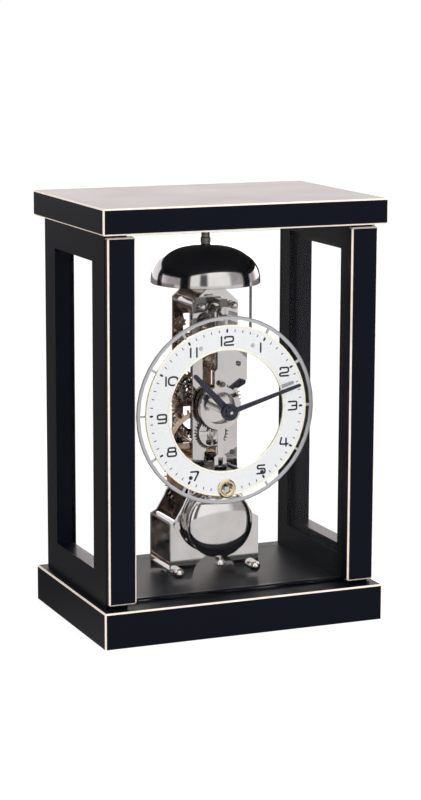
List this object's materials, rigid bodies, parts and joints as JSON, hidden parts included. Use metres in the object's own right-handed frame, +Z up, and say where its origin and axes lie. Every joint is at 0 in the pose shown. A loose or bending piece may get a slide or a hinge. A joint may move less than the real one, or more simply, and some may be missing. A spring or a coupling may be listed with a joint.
{
  "type": "skeleton table clock",
  "caption": "Black-framed glass table clock with an open polished movement, ring dial, two hands, a bell on top and a round pendulum bob.",
  "frame": {"origin": "middle of the base's underside", "axes": "+X to the viewer's right, +Y to the back (the dial and the door face -Y), +Z up"},
  "size_m": [0.2, 0.138, 0.2862],
  "materials": {
    "black_lacquer": "satin black lacquer, gloss on the top",
    "clear_glass": "clear, polished",
    "polished_nickel": "mirror polished",
    "dial_white": "satin white enamel",
    "ring_grey": "satin grey",
    "hand_black": "satin black",
    "polished_brass": "polished",
    "blued_steel": "dark polished steel",
    "spring_steel": "satin steel"
  },
  "bodies": {
    "clock_case": {"base_plinth": "black_lacquer", "top_slab": "black_lacquer", "left_side_frame": "black_lacquer", "right_side_frame": "black_lacquer", "left_side_glass": "clear_glass", "right_side_glass": "clear_glass", "rear_glass": "clear_glass", "door_stop_rail": "black_lacquer", "lower_door_pin": "polished_nickel", "upper_door_pin": "polished_nickel", "front_plate": "polished_nickel", "back_plate": "polished_nickel", "lower_left_pillar": "polished_nickel", "lower_right_pillar": "polished_nickel", "shoulder_left_pillar": "polished_nickel", "shoulder_right_pillar": "polished_nickel", "top_left_pillar": "polished_nickel", "top_right_pillar": "polished_nickel", "lower_left_nut": "polished_nickel", "lower_right_nut": "polished_nickel", "top_left_nut": "polished_nickel", "top_right_nut": "polished_nickel", "shoulder_left_screw": "polished_nickel", "shoulder_right_screw": "polished_nickel", "left_foot_spacer": "polished_nickel", "right_foot_spacer": "polished_nickel", "strike_cock": "polished_nickel", "suspension_cock": "spring_steel", "suspension_screw": "polished_nickel", "bell": "polished_nickel", "bell_stand": "polished_nickel", "bell_nut": "polished_nickel", "dial_ring": "dial_white", "dial_outer_ring": "ring_grey", "upper_dial_carrier": "spring_steel", "lower_dial_carrier": "spring_steel", "winding_eyelet": "polished_brass"},
    "front_door": {"front_glass": "clear_glass", "left_front_post": "black_lacquer", "right_front_post": "black_lacquer"},
    "third": {"third_wheel": "polished_brass"},
    "escape": {"escape_wheel": "polished_brass"},
    "centre": {"centre_wheel": "polished_brass", "cannon_pinion": "polished_brass", "minute_hand": "hand_black", "hand_nut": "hand_black"},
    "minute": {"minute_wheel": "polished_brass"},
    "hour": {"hour_wheel": "polished_nickel", "hour_hand": "hand_black"},
    "second": {"second_wheel": "polished_brass"},
    "barrel": {"spring_barrel": "polished_brass", "mainspring": "spring_steel"},
    "winding": {"winding_arbor": "polished_nickel"},
    "click_pawl": {"click": "blued_steel"},
    "striking_lever": {"strike_lever": "blued_steel"},
    "bell_hammer": {"hammer": "polished_nickel"},
    "pendulum": {"pendulum_rod": "polished_nickel", "pendulum_bob": "polished_nickel"},
    "escape_anchor": {"anchor": "polished_nickel"},
    "rate_nut": {"rating_nut": "polished_nickel"}
  },
  "joints": [
    {"name": "door_hinge", "type": "hinge", "parent": "clock_case", "child": "front_door", "pos_m": [0.0927, -0.0607, 0.14705], "axis": [0, 0, 1], "range_deg": [0, 100]},
    {"name": "third_turn", "type": "hinge", "parent": "clock_case", "child": "third", "pos_m": [0.005, 0.006, 0.1715], "axis": [0, 1, 0], "continuous": true},
    {"name": "escape_turn", "type": "hinge", "parent": "clock_case", "child": "escape", "pos_m": [0, 0.006, 0.195], "axis": [0, 1, 0], "continuous": true},
    {"name": "centre_turn", "type": "hinge", "parent": "clock_case", "child": "centre", "pos_m": [0, 0, 0.1445], "axis": [0, 1, 0], "continuous": true},
    {"name": "minute_wheel_turn", "type": "hinge", "parent": "clock_case", "child": "minute", "pos_m": [-0.003, -0.015, 0.1267], "axis": [0, 1, 0], "continuous": true},
    {"name": "hour_turn", "type": "hinge", "parent": "clock_case", "child": "hour", "pos_m": [0, -0.0265, 0.1445], "axis": [0, 1, 0], "continuous": true},
    {"name": "second_turn", "type": "hinge", "parent": "clock_case", "child": "second", "pos_m": [-0.01, 0.006, 0.1179], "axis": [0, 1, 0], "continuous": true},
    {"name": "barrel_turn", "type": "hinge", "parent": "clock_case", "child": "barrel", "pos_m": [0, 0.004, 0.0916], "axis": [0, 1, 0], "continuous": true},
    {"name": "winding_turn", "type": "hinge", "parent": "clock_case", "child": "winding", "pos_m": [0, -0.004, 0.0916], "axis": [0, 1, 0], "continuous": true},
    {"name": "click_pivot", "type": "hinge", "parent": "clock_case", "child": "click_pawl", "pos_m": [0.0132, -0.0147, 0.0845], "axis": [0, 1, 0], "range_deg": [0, 20]},
    {"name": "lever_pivot", "type": "hinge", "parent": "clock_case", "child": "striking_lever", "pos_m": [0.0179, -0.0165, 0.16], "axis": [0, 1, 0], "range_deg": [-6, 6]},
    {"name": "hammer_pivot", "type": "hinge", "parent": "clock_case", "child": "bell_hammer", "pos_m": [0.0144, 0.0045, 0.1942], "axis": [0, 1, 0], "range_deg": [-12, 1.2]},
    {"name": "pendulum_swing", "type": "hinge", "parent": "clock_case", "child": "pendulum", "pos_m": [0, -0.0222, 0.211], "axis": [0, 1, 0], "range_deg": [-3, 3]},
    {"name": "anchor_rock", "type": "hinge", "parent": "clock_case", "child": "escape_anchor", "pos_m": [0, 0, 0.211], "axis": [0, 1, 0], "range_deg": [-3, 3]},
    {"name": "rating_nut_turn", "type": "hinge", "parent": "pendulum", "child": "rate_nut", "pos_m": [0, -0.0222, 0.0395], "axis": [0, 0, 1], "continuous": true}
  ],
  "couplings": [
    {"joint": "escape_turn", "follows": "third_turn", "ratio": -10},
    {"joint": "centre_turn", "follows": "third_turn", "ratio": -0.1},
    {"joint": "minute_wheel_turn", "follows": "third_turn", "ratio": 0.0625},
    {"joint": "hour_turn", "follows": "third_turn", "ratio": -0.0083333},
    {"joint": "second_turn", "follows": "third_turn", "ratio": 0.016667},
    {"joint": "barrel_turn", "follows": "third_turn", "ratio": -0.0020833},
    {"joint": "anchor_rock", "follows": "pendulum_swing", "ratio": 1}
  ]
}
